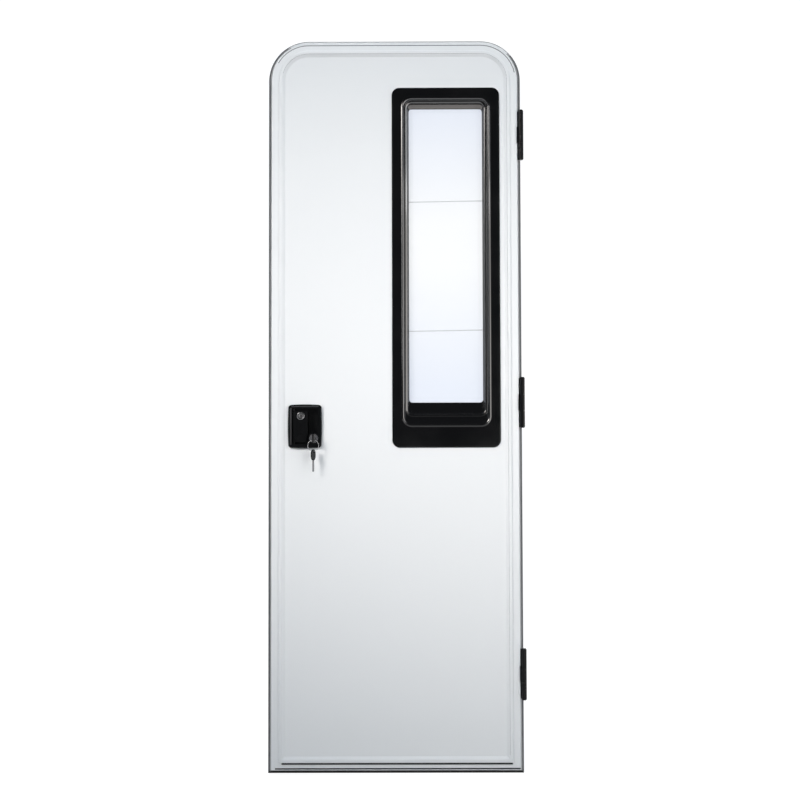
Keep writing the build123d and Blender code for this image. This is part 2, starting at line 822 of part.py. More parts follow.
with BuildPart() as key_ring:
    with BuildSketch(Plane(origin=(key_x, head_middle, ring_z), x_dir=(1, 0, 0), z_dir=(0, 0, 1))):
        with Locations((ring_radius, 0)):
            RegularPolygon(ring_wire_radius, ring_wire_sides)
    revolve(axis=Axis((key_x, head_middle, ring_z), (0, 1, 0)), revolution_arc=360)
save(key_ring, "key_ring")

spare_hole_z = ring_bottom + ring_wire_radius + ring_play - spare_hole_radius
spare_top = spare_hole_z + spare_hole_inset
spare_middle = spare_top - key_head_length / 2
spare_bottom = spare_top - key_head_length
spare_sin = sin(radians(spare_turn))
spare_cos = cos(radians(spare_turn))
spare_plane = Plane(
    origin=(key_x, head_middle, 0), x_dir=(spare_sin, spare_cos, 0), z_dir=(spare_cos, -spare_sin, 0)
)

with BuildPart() as spare_key_head:
    with BuildSketch(spare_plane):
        with Locations((0, spare_middle)):
            SlotOverall(key_head_length, key_head_width, rotation=90)
        with Locations((0, spare_bottom + 2.0)):
            Rectangle(key_blade_width, 4.0)
        with Locations((0, spare_hole_z)):
            Circle(spare_hole_radius, mode=Mode.SUBTRACT)
    extrude(amount=key_head_thickness / 2, both=True)
save(spare_key_head, "spare_key_head")

with BuildPart() as spare_key_blade:
    with BuildSketch(spare_plane) as spare_blade:
        with Locations((0, spare_bottom - key_blade_length / 2)):
            Rectangle(key_blade_width, key_blade_length)
            chamfer(spare_blade.vertices().group_by(Axis.Z)[0], key_tip)
        bits_start = spare_bottom - key_blade_length + key_tip + key_bit_pitch
        bit_heights = [bits_start + i * key_bit_pitch for i in range(key_bit_count)]
        with Locations([(key_blade_width / 2, z) for z in bit_heights]):
            RegularPolygon(key_bit_depth, 4, mode=Mode.SUBTRACT)
    extrude(amount=key_blade_thickness / 2, both=True)
save(spare_key_blade, "spare_key_blade")

# Indoor side of the lock
with BuildPart() as inside_lock_plate:
    with BuildSketch(facing(leaf_back + inside_plate_thickness)):
        with Locations((lock_x, lock_z)):
            RectangleRounded(inside_plate_width, inside_plate_height, lock_corner_radius)
    extrude(amount=inside_plate_thickness)
    chamfer(inside_lock_plate.faces().sort_by(Axis.Y)[-1].edges(), lock_edge_break)
save(inside_lock_plate, "inside_lock_plate")

lever_z = lock_z + bolt_spread
lever_back = leaf_back + inside_plate_thickness + lever_standoff

with BuildPart() as inside_lever:
    with BuildSketch(facing(lever_back)):
        with Locations((lock_x, lever_z)):
            Circle(lever_boss_radius)
    extrude(amount=lever_standoff)
    with BuildSketch(facing(lever_back)):
        with Locations((lock_x + lever_reach / 2, lever_z)):
            SlotCenterToCenter(lever_reach, lever_width)
    extrude(amount=lever_thickness)
save(inside_lever, "inside_lever")
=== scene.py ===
"""Caravan entry door: materials, small fittings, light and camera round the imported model."""
import json
import math

import bmesh
import bpy
from mathutils import Matrix, Vector


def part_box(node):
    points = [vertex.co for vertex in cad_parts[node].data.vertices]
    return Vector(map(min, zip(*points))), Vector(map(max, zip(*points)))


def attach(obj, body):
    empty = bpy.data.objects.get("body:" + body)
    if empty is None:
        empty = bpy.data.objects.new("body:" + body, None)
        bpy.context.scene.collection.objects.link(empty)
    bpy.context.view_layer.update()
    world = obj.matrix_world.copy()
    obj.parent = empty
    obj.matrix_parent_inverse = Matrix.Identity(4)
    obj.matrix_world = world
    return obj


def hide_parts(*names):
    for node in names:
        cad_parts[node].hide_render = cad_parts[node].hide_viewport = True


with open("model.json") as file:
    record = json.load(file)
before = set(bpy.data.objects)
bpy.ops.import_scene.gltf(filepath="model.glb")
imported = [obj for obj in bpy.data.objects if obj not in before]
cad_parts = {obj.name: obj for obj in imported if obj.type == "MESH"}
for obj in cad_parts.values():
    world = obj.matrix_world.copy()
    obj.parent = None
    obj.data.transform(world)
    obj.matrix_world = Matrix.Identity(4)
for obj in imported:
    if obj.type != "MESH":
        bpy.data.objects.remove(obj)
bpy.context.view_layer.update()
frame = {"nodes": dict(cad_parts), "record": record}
nodes = frame["nodes"]
scene = bpy.context.scene
scene.view_settings.view_transform = "Standard"

MM = 0.001

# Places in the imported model, in millimetres; outdoors is towards -y
HALF_WIDTH = 315.0
CORNER_RADIUS = 100.0
CORNER_X = HALF_WIDTH - CORNER_RADIUS
CORNER_Z = 1720.0
FLANGE_FRONT = -2.5
IN_FLANGE = -2.45  # just under the flange's front
LIP_FOOT = -1.8  # foot of the rubber lips, deeper in the flange
SKIN_FRONT = -10.0
WINDOW_FRONT = -13.0
IN_GROOVE = -13.15  # just above the bottom of the bead's groove
FOLD_HEIGHTS = (1416.0, 1090.0)


# Mesh helpers: sizes in millimetres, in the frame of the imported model

def in_mm(box):
    """Low and high corner of a box, in millimetres."""
    return [end / MM for end in box]


def piece(name, points, faces, material, body, slot, smooth=True):
    """A mesh that rides on a body and takes the finish given to it; its slot argument is not
    used.
    """
    mesh = bpy.data.meshes.new(name)
    mesh.from_pydata([Vector(p) * MM for p in points], [], faces)
    mesh.validate()
    work = bmesh.new()
    work.from_mesh(mesh)
    bmesh.ops.recalc_face_normals(work, faces=work.faces)
    work.to_mesh(mesh)
    work.free()
    for polygon in mesh.polygons:
        polygon.use_smooth = smooth
    mesh.materials.append(material)
    thing = bpy.data.objects.new(name, mesh)
    scene.collection.objects.link(thing)
    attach(thing, body)
    return thing


def rounded_ring(centre_x, width, bottom, top, radius, y, steps=10):
    """Points of a rounded rectangle in an upright plane, from the bottom right corner round."""
    points = []
    half = width / 2 - radius
    corners = ((half, bottom + radius, -90), (half, top - radius, 0),
               (-half, top - radius, 90), (-half, bottom + radius, 180))
    for x, z, start in corners:
        for i in range(steps + 1):
            turn = math.radians(start + 90 * i / steps)
            points.append((centre_x + x + radius * math.cos(turn), y,
                           z + radius * math.sin(turn)))
    return points


def skin_rings(rings, closed=False):
    """Points and faces of a surface through rings that have equally many points."""
    count = len(rings[0])
    points = [p for ring in rings for p in ring]
    faces = []
    last = len(rings) if closed else len(rings) - 1
    for r in range(last):
        a = r * count
        b = ((r + 1) % len(rings)) * count
        for i in range(count):
            j = (i + 1) % count
            faces.append((a + i, a + j, b + j, b + i))
    return points, faces


def sheet_faces(rows, columns):
    """Faces of an open grid of points, given row by row."""
    faces = []
    for r in range(rows - 1):
        for c in range(columns - 1):
            a = r * columns + c
            faces.append((a, a + 1, a + columns + 1, a + columns))
    return faces


def joined(shapes):
    """Points and faces of several shapes in one mesh."""
    points, faces = [], []
    for more, sides in shapes:
        faces += [tuple(k + len(points) for k in side) for side in sides]
        points += more
    return points, faces


def tube(path, radius, sides):
    """Points and faces of a round wire along an open path, with closed ends."""
    rings = []
    path = [Vector(p) for p in path]
    turns = [2 * math.pi * k / sides for k in range(sides)]
    for i, p in enumerate(path):
        along = (path[min(i + 1, len(path) - 1)] - path[max(i - 1, 0)]).normalized()
        side = along.cross(Vector((0, 1, 0))).normalized()
        out = side.cross(along).normalized()
        rings.append([p + radius * (math.cos(t) * side + math.sin(t) * out) for t in turns])
    points, faces = skin_rings(rings)
    faces.append(tuple(range(sides)))
    faces.append(tuple(range(len(points) - sides, len(points))))
    return points, faces


def screw_head(place, facing, radius, rise, turn):
    """Points and faces of a domed screw head with a cross recess."""
    steps, around = 15, 48
    dome = 0.97
    cross_half, cross_reach = 0.11, 0.56
    skirt = 0.2
    out = Vector(facing).normalized()
    helper = Vector((0, 0, 1)) if abs(out.z) < 0.9 else Vector((1, 0, 0))
    u = helper.cross(out).normalized()
    v = out.cross(u)
    c, s = math.cos(turn), math.sin(turn)
    rings = []
    for i in range(steps + 1):
        r = radius * i / steps
        ring = []
        for k in range(around):
            angle = 2 * math.pi * k / around
            x = r * math.cos(angle)
            z = r * math.sin(angle)
            reach = max(abs(x), abs(z))
            wide = min(abs(x), abs(z))
            height = rise * math.sqrt(max(0.0, 1 - (dome * r / radius) ** 2))
            if wide < cross_half * radius and reach < cross_reach * radius:
                deeper = 1 - reach / (cross_reach * radius)
                height -= 0.75 * rise + 0.25 * radius * deeper
            ring.append(Vector(place) + u * (x * c - z * s) + v * (x * s + z * c) + out * height)
        rings.append(ring)
    rings.append([p - out * (out.dot(p - Vector(place)) + skirt) for p in rings[-1]])
    return skin_rings(rings)


def screws(name, places, facing, radius, rise, finish, slot, body):
    """Screw heads at several places, each turned a little further than the one before."""
    first_turn, next_turn = 0.4, 1.3
    heads = [screw_head(place, facing, radius, rise, first_turn + next_turn * i)
             for i, place in enumerate(places)]
    return piece(name, *joined(heads), look[finish], body, slot)


def round_face(name, centre, section, finish, slot, body):
    """A turned ring or disc facing outdoors, from (radius, y) pairs."""
    steps = 48
    x, z = centre
    turns = [2 * math.pi * k / steps for k in range(steps)]
    rings = [[(x + r * math.cos(t), y, z + r * math.sin(t)) for t in turns] for r, y in section]
    return piece(name, *skin_rings(rings), look[finish], body, slot)


def bar(x0, z0, x1, z1, y, rise):
    """Points and faces of a low bar with broken edges, between two corners and risen from y."""
    edge = min(x1 - x0, z1 - z0) * 0.25
    points, faces = [], []
    for inset, out in ((0.0, 0.0), (0.1 * edge, 0.7 * rise), (edge, rise)):
        points += [(x0 + inset, y - out, z0 + inset), (x1 - inset, y - out, z0 + inset),
                   (x1 - inset, y - out, z1 - inset), (x0 + inset, y - out, z1 - inset)]
    for ring in (0, 4):
        for i in range(4):
            j = (i + 1) % 4
            faces.append((ring + i, ring + j, ring + 4 + j, ring + 4 + i))
    faces.append((8, 9, 10, 11))
    faces.append((3, 2, 1, 0))
    return points, faces


def strip(name, runs, finish, slot, body):
    """Low bars in one piece; a run gives both corners (x, z), the foot's y and the rise."""
    shape = joined(bar(*run) for run in runs)
    return piece(name, *shape, look[finish], body, slot, smooth=False)


def arc(side, start, end, steps=12):
    """Steps round a top corner: the side it is on, and the angle up from the door's right."""
    return [(side, start + (end - start) * i / steps) for i in range(steps + 1)]


def over_head(start, end):
    """Steps from the left top corner along the head to the right one."""
    return arc(-1, start, 90) + arc(1, 90, end)


def rim(name, runs, inset, width, y, rise, finish, slot, body):
    """Low strips round the top of the frame's outline, set in from it."""
    shapes = []
    for run in runs:
        rings = []
        for side, turn in run:
            angle = math.radians(turn)
            ring = []
            for across, out in ((0.0, 0.0), (0.2, rise), (0.8, rise), (1.0, 0.0)):
                r = CORNER_RADIUS - inset - across * width
                ring.append((side * CORNER_X + r * math.cos(angle), y - out,
                             CORNER_Z + r * math.sin(angle)))
            rings.append(ring)
        points, faces = skin_rings(rings)
        faces += [(0, 1, 2, 3), tuple(range(len(points) - 4, len(points)))]
        shapes.append((points, faces))
    return piece(name, *joined(shapes), look[finish], body, slot, smooth=False)


# Materials

class Graph:
    """A node tree, with short ways to add nodes, links and sums."""

    def __init__(self, tree):
        self.tree = tree

    def node(self, kind, **settings):
        made = self.tree.nodes.new(kind)
        for key, value in settings.items():
            setattr(made, key, value)
        return made

    def link(self, source, target):
        self.tree.links.new(source, target)

    def calc(self, operation, *values):
        """Result of a Math node on numbers and other nodes' outputs."""
        made = self.node("ShaderNodeMath", operation=operation)
        for socket, value in zip(made.inputs, values):
            if isinstance(value, float):
                socket.default_value = value
            else:
                self.link(value, socket)
        return made.outputs[0]

    def largest(self, first, *others):
        for other in others:
            first = self.calc("MAXIMUM", first, other)
        return first

    def ranged(self, value, low, high, start=0.3, end=0.7):
        """The value's range from start to end, mapped to low to high."""
        made = self.node("ShaderNodeMapRange")
        made.inputs["From Min"].default_value = start
        made.inputs["From Max"].default_value = end
        made.inputs["To Min"].default_value = low
        made.inputs["To Max"].default_value = high
        self.link(value, made.inputs["Value"])
        return made.outputs["Result"]

    def mixed(self, factor, first, second):
        """Colour between two colours, either of which may be another node's output."""
        made = self.node("ShaderNodeMix", data_type="RGBA")
        self.link(factor, made.inputs[0])
        for socket, colour in ((made.inputs[6], first), (made.inputs[7], second)):
            if isinstance(colour, tuple):
                socket.default_value = (*colour, 1)
            else:
                self.link(colour, socket)
        return made.outputs[2]


class Finish(Graph):
    """A procedural material on object coordinates, with colour, gloss and relief of its own."""

    def __init__(self, name):
        self.material = bpy.data.materials.new(name)
        self.material.use_nodes = True
        super().__init__(self.material.node_tree)
        self.shader = self.tree.nodes["Principled BSDF"]
        self.where = self.node("ShaderNodeTexCoord").outputs["Object"]

    def set(self, **sockets):
        for key, value in sockets.items():
            self.shader.inputs[key.replace("_", " ")].default_value = value
        return self

    def noise(self, scale, stretch=(1, 1, 1), detail=4.0, rough=0.55):
        """Cloudy noise, stretched along the axes whose number is small."""
        mapping = self.node("ShaderNodeMapping")
        mapping.inputs["Scale"].default_value = stretch
        self.link(self.where, mapping.inputs["Vector"])
        made = self.node("ShaderNodeTexNoise")
        made.inputs["Scale"].default_value = scale
        made.inputs["Detail"].default_value = detail
        made.inputs["Roughness"].default_value = rough
        self.link(mapping.outputs["Vector"], made.inputs["Vector"])
        return made.outputs["Fac"]

    def along(self, axis):
        made = self.node("ShaderNodeSeparateXYZ")
        self.link(self.where, made.inputs["Vector"])
        return made.outputs[axis]

    def colour(self, output):
        self.link(output, self.shader.inputs["Base Color"])

    def gloss(self, value, low, high):
        """Roughness between two numbers."""
        self.link(self.ranged(value, low, high), self.shader.inputs["Roughness"])

    def relief(self, height, strength, distance):
        """Bump, on top of any that is there already."""
        made = self.node("ShaderNodeBump")
        made.inputs["Strength"].default_value = strength
        made.inputs["Distance"].default_value = distance
        self.link(height, made.inputs["Height"])
        before = self.shader.inputs["Normal"].links
        if before:
            self.link(before[0].from_socket, made.inputs["Normal"])
        self.link(made.outputs["Normal"], self.shader.inputs["Normal"])


def white_finish(name, rough, peel):
    """Stoved white paint: faint cloudiness, orange peel, and a little road dust low down."""
    f = Finish(name).set(Specular_IOR_Level=0.32)
    clean = f.mixed(f.noise(1.6, detail=2), (0.806, 0.811, 0.818), (0.814, 0.819, 0.825))
    dust = f.ranged(f.along("Z"), 0.05, 0.0, 0.0, 0.16)
    speck = f.ranged(f.noise(160.0, detail=6), 0.0, 1.0, 0.5, 0.8)
    f.colour(f.mixed(f.calc("MULTIPLY", dust, speck), clean, (0.62, 0.61, 0.58)))
    f.gloss(f.noise(4.0, detail=2), rough - 0.012, rough + 0.012)
    f.relief(f.noise(peel, detail=2), 0.03, 0.0002)
    return f.material


def metal_finish(name, dark, light, rough, stretch, scale, metallic=1.0):
    """Drawn or machined metal, streaked along one axis."""
    f = Finish(name).set(Metallic=metallic)
    streak = f.noise(scale, stretch, detail=6)
    f.colour(f.mixed(streak, dark, light))
    f.gloss(f.noise(14.0), rough - 0.07, rough + 0.10)
    f.relief(streak, 0.10, 0.0002)
    return f.material


def black_finish(name, base, worn, rough, grain, strength, shine=0.5):
    """Black or grey moulding, rubber or paint: grain, patchy gloss and paler rubbed spots."""
    f = Finish(name).set(Specular_IOR_Level=shine)
    rub = f.ranged(f.noise(26.0, detail=8, rough=0.7), 0.0, 1.0, 0.62, 0.78)
    f.colour(f.mixed(rub, base, worn))
    f.gloss(f.noise(11.0), rough - 0.05, rough + 0.08)
    f.relief(f.noise(grain, detail=3), strength, 0.0003)
    return f.material


def edge_gloss_finish(name, base, worn):
    """The black moulding where its edges are polished."""
    f = Finish(name).set(Specular_IOR_Level=0.9, Coat_Weight=0.5, Coat_Roughness=0.08,
                         Coat_IOR=1.6)
    f.colour(f.mixed(f.noise(26.0, detail=8), base, worn))
    f.gloss(f.noise(11.0), 0.06, 0.14)
    f.relief(f.noise(700.0, detail=3), 0.02, 0.0003)
    return f.material


def foam_finish(name):
    """Pale foam with cells."""
    f = Finish(name).set(Roughness=0.9)
    cells = f.node("ShaderNodeTexVoronoi")
    cells.inputs["Scale"].default_value = 420.0
    f.link(f.where, cells.inputs["Vector"])
    f.colour(f.mixed(cells.outputs["Distance"], (0.72, 0.69, 0.58), (0.84, 0.81, 0.71)))
    f.relief(cells.outputs["Distance"], 0.6, 0.0008)
    return f.material


def acrylic_finish(name):
    """Clear pane with a faint tint and waviness."""
    f = Finish(name).set(Alpha=0.10, IOR=1.49, Specular_IOR_Level=1.0, Coat_Weight=0.4)
    f.colour(f.mixed(f.noise(7.0), (0.80, 0.86, 0.93), (0.86, 0.90, 0.95)))
    f.gloss(f.noise(16.0), 0.03, 0.09)
    f.relief(f.noise(5.0, detail=2), 0.05, 0.0004)
    f.material.surface_render_method = "BLENDED"
    return f.material


def blind_finish(name):
    """White woven blind with a painted glow standing in for daylight behind it, bluer towards its
    ends, and painted shade in a line at each fold.
    """
    fold_slope = 0.016
    line_core, line_edge = 0.0007, 0.0017
    glow_z, glow_core, glow_edge = 1.31, 0.05, 0.36
    f = Finish(name).set(Roughness=0.8, Sheen_Weight=0.15, Emission_Strength=0.86)
    for axis in ("X", "Z"):
        weave = f.node("ShaderNodeTexWave", bands_direction=axis)
        weave.inputs["Scale"].default_value = 420.0
        weave.inputs["Distortion"].default_value = 0.6
        f.link(f.where, weave.inputs["Vector"])
        f.relief(weave.outputs["Fac"], 0.18, 0.0002)
    # Painted shade: a darker line of colour and glow along each fold
    lines = []
    for fold in FOLD_HEIGHTS:
        level = f.calc("MULTIPLY_ADD", f.along("X"), -fold_slope, f.along("Z"))
        away = f.calc("ABSOLUTE", f.calc("SUBTRACT", level, fold * MM))
        lines.append(f.ranged(away, 1.0, 0.0, line_core, line_edge))
    fold_shade = f.largest(*lines)
    slub = f.noise(30.0, (1, 1, 0.1), detail=6)
    cloth = f.mixed(slub, (0.12, 0.121, 0.1235), (0.135, 0.136, 0.1385))
    f.colour(f.mixed(fold_shade, cloth, (0.10, 0.10, 0.1025)))
    # Painted light: the blind glows, white in the middle and bluer towards its ends
    off_middle = f.calc("ABSOLUTE", f.calc("SUBTRACT", f.along("Z"), glow_z))
    towards_ends = f.ranged(off_middle, 0.0, 1.0, glow_core, glow_edge)
    glow = f.mixed(towards_ends, (1.0, 1.0, 1.0), (0.80, 0.842, 0.945))
    f.link(f.mixed(fold_shade, glow, (0.46, 0.46, 0.47)), f.shader.inputs["Emission Color"])
    return f.material


BLACK, BLACK_WORN = (0.0032, 0.0034, 0.0038), (0.006, 0.006, 0.0065)
look = {
    # the record's slots
    "white_coat": white_finish("white_coat_look", 0.46, 900.0),
    "white_skin": white_finish("white_skin_look", 0.44, 420.0),
    "grey_aluminium": metal_finish("grey_aluminium_look", (0.42, 0.425, 0.435),
                                   (0.50, 0.505, 0.515), 0.42, (1, 1, 0.04), 240.0, 0.45),
    "black_moulding": black_finish("black_moulding_look", BLACK, BLACK_WORN, 0.14, 700.0, 0.02),
    "black_paint": black_finish("black_paint_look", (0.0035, 0.0035, 0.004),
                                (0.009, 0.009, 0.0095), 0.24, 1100.0, 0.12, 0.14),
    "seal_rubber": black_finish("seal_rubber_look", (0.014, 0.014, 0.014),
                                (0.03, 0.03, 0.03), 0.66, 1500.0, 0.2),
    "black_plastic": black_finish("black_plastic_look", (0.005, 0.005, 0.0055),
                                  (0.012, 0.012, 0.013), 0.50, 1800.0, 0.25, 0.25),
    "bright_steel": metal_finish("bright_steel_look", (0.50, 0.50, 0.51),
                                 (0.62, 0.62, 0.63), 0.24, (1, 0.2, 1), 900.0),
    "steel": metal_finish("steel_look", (0.24, 0.24, 0.245),
                          (0.34, 0.34, 0.345), 0.34, (1, 1, 0.06), 700.0),
    "foam": foam_finish("foam_look"),
    "acrylic": acrylic_finish("acrylic_look"),
    "white_cloth": blind_finish("blind_look"),
    # finishes of small fittings
    # grey rubber, whose grey also stands in for the shade of gaps and grooves: painted shade
    "lip_rubber": black_finish("shade_and_rubber_grey_look", (0.125, 0.127, 0.13),
                               (0.16, 0.16, 0.162), 0.7, 1500.0, 0.2),
    # painted highlight: a paler black for the lock moulding's left and top rim
    "painted_highlight_black": black_finish("painted_highlight_black_look", (0.014, 0.0145, 0.016),
                              (0.024, 0.0245, 0.026), 0.42, 900.0, 0.1),
    "dark_steel": metal_finish("dark_steel_look", (0.13, 0.132, 0.137),
                               (0.22, 0.222, 0.226), 0.20, (1, 0.2, 1), 900.0),
    "edge_gloss": edge_gloss_finish("edge_gloss_look", BLACK, BLACK_WORN),
    # painted reflection: the brownish grey of the sash head
    "sash": metal_finish("sash_painted_reflection_look", (0.16, 0.145, 0.135),
                         (0.22, 0.205, 0.19), 0.45, (0.04, 1, 1), 240.0, 0.1),
}

for part in frame["record"]["subparts"]:
    for slot in nodes[part["node"]].material_slots:
        slot.material = look[part["material_slot"]]
for slot in nodes["paddle_pin"].material_slots:
    slot.material = look["black_paint"]


# Window surround: the moulding with its softened border, raised lip and inner ridge.
# A stage gives its inset at the sides, the bottom and the top, and its corner radius.

low, high = in_mm(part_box("window_surround"))
pane_x, flange_w, flange_z0, flange_z1 = (low.x + high.x) / 2, high.x - low.x, low.z, high.z
FLANGE = (0.0, 0.0, 0.0, 19.0)
MOUTH = (28.0, 56.5, 27.5, 21.0)
LEDGE = (36.5, 81.5, 35.5, 14.0)
GLASS = (42.5, 112.5, 49.0, 8.0)
PANE_FRONT = 7.0


def window_ring(side, bottom, top, radius, y):
    """Ring of the surround, set in from the flange's outline."""
    return rounded_ring(pane_x, flange_w - 2 * side, flange_z0 + bottom, flange_z1 - top,
                        radius, y)


def outward(stage, offset, y):
    """A stage of the surround at a depth, moved evenly towards the flange's outline."""
    side, bottom, top, radius = stage
    return (side - offset, bottom - offset, top - offset, radius + offset, y)


def between(first, second, share, y):
    """A stage at a depth, part of the way from one stage to another."""
    return (*(p + (q - p) * share for p, q in zip(first, second)), y)


border = ((0.1, -12.3), (0.25, -12.6), (0.5, -12.72), (1.2, -12.76), (4.4, -12.98),
          (5.2, WINDOW_FRONT), (6.3, WINDOW_FRONT), (7.5, WINDOW_FRONT))
lip = ((8.0, WINDOW_FRONT), (6.0, WINDOW_FRONT), (5.0, -13.02), (4.6, -13.1), (3.3, -13.5),
       (2.0, -13.9), (1.5, -13.98), (1.0, -13.93), (0.1, -13.66), (-0.8, -13.38),
       (-1.3, -13.0), (-1.7, -12.3))
ridge = ((5.0, -7.6), (4.5, -7.0), (4.0, -6.85), (3.5, -6.95), (3.0, -7.05), (2.5, -7.02),
         (1.2, -6.63), (-0.1, -6.24), (-1.4, -5.85), (-1.8, -5.4), (-2.1, -4.6))
reveal = ((0.46, -1.2), (0.70, 2.8), (0.94, 6.2), (1.0, PANE_FRONT))
profile = [(*FLANGE, SKIN_FRONT), (*FLANGE, -11.4)]
profile += [outward(FLANGE, -d, y) for d, y in border]
profile += [outward(MOUTH, d, y) for d, y in lip]
profile += [outward(LEDGE, d, y) for d, y in ridge]
profile += [between(LEDGE, GLASS, share, y) for share, y in reveal]
profile += [outward(MOUTH, 4.0, PANE_FRONT), outward(MOUTH, 4.0, SKIN_FRONT)]
rings = [window_ring(*stage) for stage in profile]
surround = piece("window_surround_moulding", *skin_rings(rings, closed=True),
                 look["black_moulding"], "leaf", "black_moulding")
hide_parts("window_surround")

# Lip and ridge are polished above their feet, but not the lip's flank at the top left corner
surround.data.materials.append(look["edge_gloss"])
depths = [stage[4] for stage in profile]
crest = depths.index(min(depths))
lip_foot, ridge_foot, flank_top = 62.0, 90.0, 1500.0
for polygon in surround.data.polygons:
    at = polygon.vertices[0] // len(rings[0])
    x, _, z = polygon.center / MM
    on_lip = -13.99 < depths[at] < -13.3
    on_ridge = -7.04 < depths[at] < -5.8
    foot = lip_foot if on_lip else ridge_foot
    plain_flank = at < crest and x < pane_x and z > flank_top
    if (on_lip or on_ridge) and z > flange_z0 + foot and not plain_flank:
        polygon.material_index = 1

# Head of the sash: the reveal's top, from the middle of one corner to that of the other; its
# brownish grey is a painted reflection.
head_from, head_to = 15, 29
sash_steps = ((0.38, -3.2), (0.46, -1.6), (0.70, 2.4), (0.93, 5.7))
sash_rows = [window_ring(*between(LEDGE, GLASS, share, y))[head_from:head_to]
             for share, y in sash_steps]
piece("sash_head_painted_reflection", [p for row in sash_rows for p in row],
      sheet_faces(len(sash_rows), len(sash_rows[0])), look["sash"], "leaf", "grey_aluminium")


# Blind: one stretched sheet with a faint ripple and two folds

low, high = in_mm(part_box("window_blind"))
blind_w, blind_z0, blind_z1, blind_y = high.x - low.x, low.z, high.z, (low.y + high.y) / 2
columns, rows = 36, 220
ripple, ripple_length = 0.25, 61.0
fold_depth, fold_width, fold_climb = 0.9, 2.2, 3.0
points = []
for r in range(rows + 1):
    z = blind_z0 + (blind_z1 - blind_z0) * r / rows
    for c in range(columns + 1):
        across = c / columns - 0.5
        x = pane_x + blind_w * across
        y = blind_y + ripple * math.sin(z / ripple_length + 2.1 * across) * math.cos(3.0 * across)
        for fold in FOLD_HEIGHTS:
            off = z - fold - fold_climb * across
            y -= fold_depth * math.exp(-(off / fold_width) ** 2)
        points.append((x, y, z))
blind = piece("blind_sheet", points, sheet_faces(rows + 1, columns + 1), look["white_cloth"],
              "leaf", "white_cloth")
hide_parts("window_blind")


# Key ring: a split ring of two coils

low, high = in_mm(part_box("key_ring"))
ring_x, ring_y, ring_z = (low + high) / 2
ring_r, wire_r, wire_sides = 13.5, 0.43, 10
coils, coil_pitch, coil_start, coil_steps = 2.0, 0.9, math.radians(40), 180
path = []
for i in range(coil_steps + 1):
    t = i / coil_steps
    angle = coil_start + 2 * math.pi * coils * t
    path.append((ring_x + ring_r * math.cos(angle), ring_y + coil_pitch * (t - 0.5),
                 ring_z + ring_r * math.sin(angle)))
split_ring = piece("split_ring", *tube(path, wire_r, wire_sides), look["bright_steel"],
                   "key", "bright_steel")
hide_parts("key_ring")


# Paddle cylinder: rolled collar, and black sheets that are painted shade in the gap round the
# plug and in the keyway

low, high = in_mm(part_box("paddle_cylinder"))
plug_x, plug_z, plug_y = (low.x + high.x) / 2, (low.z + high.z) / 2, low.y
plug_r, collar_r = 5.0, 6.4
collar = ((collar_r, 0.0), (6.5, 0.35), (7.1, 0.75), (8.0, 0.85), (8.9, 0.6), (9.4, 0.0))
round_face("paddle_collar", (plug_x, plug_z), [(r, plug_y - out) for r, out in collar],
           "dark_steel", "steel", "paddle")
round_face("paddle_plug_painted_shade", (plug_x, plug_z), [(r, plug_y - 0.05) for r in (collar_r, plug_r)],
           "black_plastic", "black_plastic", "paddle")
strip("paddle_keyway_painted_shade", [(plug_x - 0.6, plug_z - 4.2, plug_x + 2.8, plug_z + 3.4, plug_y, 0.06)],
      "black_plastic", "black_plastic", "paddle")


# Screws: frame flange, strike and latch plates, indoor trim and lock plate

OUTDOORS, INDOORS, RIGHT, LEFT = (0, -1, 0), (0, 1, 0), (1, 0, 0), (-1, 0, 0)
STEEL, BLACK_PAINT = ("steel", "steel"), ("black_paint", "black_paint")
ENDS = (-1, 1)
flange_rows = [120.0 + 316.0 * i for i in range(6)]
screws("flange_screws", [(s * 297.0, FLANGE_FRONT, z) for s in ENDS for z in flange_rows],
       OUTDOORS, 4.2, 0.9, *STEEL, "frame")
bezel_low, bezel_high = in_mm(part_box("lock_bezel"))
lock_x, lock_z = (bezel_low.x + bezel_high.x) / 2, (bezel_low.z + bezel_high.z) / 2
strike_x, latch_x, plate_y, plate_reach = -285.0, -278.5, 8.0, 56.0
screws("strike_screws", [(strike_x, plate_y, lock_z + s * plate_reach) for s in ENDS],
       RIGHT, 3.2, 0.5, *STEEL, "frame")
screws("latch_screws", [(latch_x, plate_y, lock_z + s * plate_reach) for s in ENDS],
       LEFT, 3.2, 0.5, *STEEL, "leaf")
low, high = in_mm(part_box("window_inner_trim"))
trim_rows = [low.z + 30.0 + (high.z - low.z - 60.0) * i / 4 for i in range(5)]
screws("trim_screws", [(pane_x + s * 110.0, 29.0, z) for s in ENDS for z in trim_rows],
       INDOORS, 3.4, 1.0, *BLACK_PAINT, "leaf")
screws("lock_screws", [(lock_x + a * 30.0, 35.0, lock_z + b * 48.0) for a in ENDS for b in ENDS],
       INDOORS, 3.2, 0.9, *BLACK_PAINT, "leaf")


# Straight strips: grey rubber lips round the flange, their darkness partly painted shade of the
# gap round the leaf; then painted shade in black: the sill gap and nose, the line under the
# bottom bead and the line along the leaf's bottom edge

